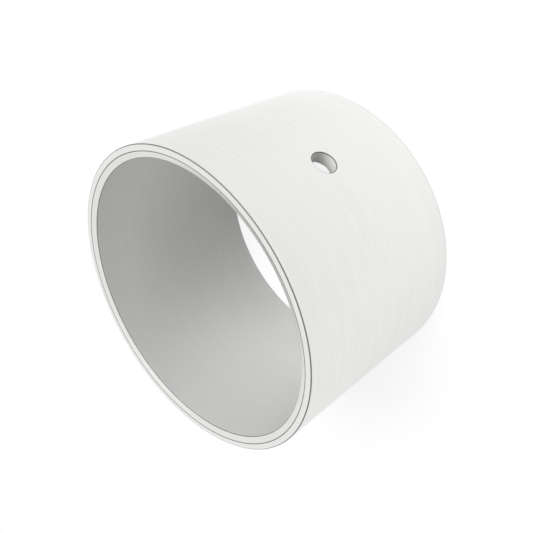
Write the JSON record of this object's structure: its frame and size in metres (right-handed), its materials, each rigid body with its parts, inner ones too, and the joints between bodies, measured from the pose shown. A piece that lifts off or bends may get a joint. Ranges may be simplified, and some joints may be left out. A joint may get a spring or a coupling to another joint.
{
  "type": "bushing",
  "caption": "Plain thin-walled sleeve bushing with chamfered bore mouths and a radial oil hole; lines a housing and carries a shaft.",
  "frame": {"origin": "on the axis, in the plane of the lower end face that the bushing stands on", "axes": "+Z along the bore axis, up to the end face that is nearer in the picture; +X out of the oil hole"},
  "size_m": [0.06, 0.06, 0.04],
  "materials": {
    "turned_steel": "fine turned outside and end faces, honed bore, pale satin grey"
  },
  "bodies": {
    "root": {"bushing": "turned_steel"}
  },
  "joints": []
}
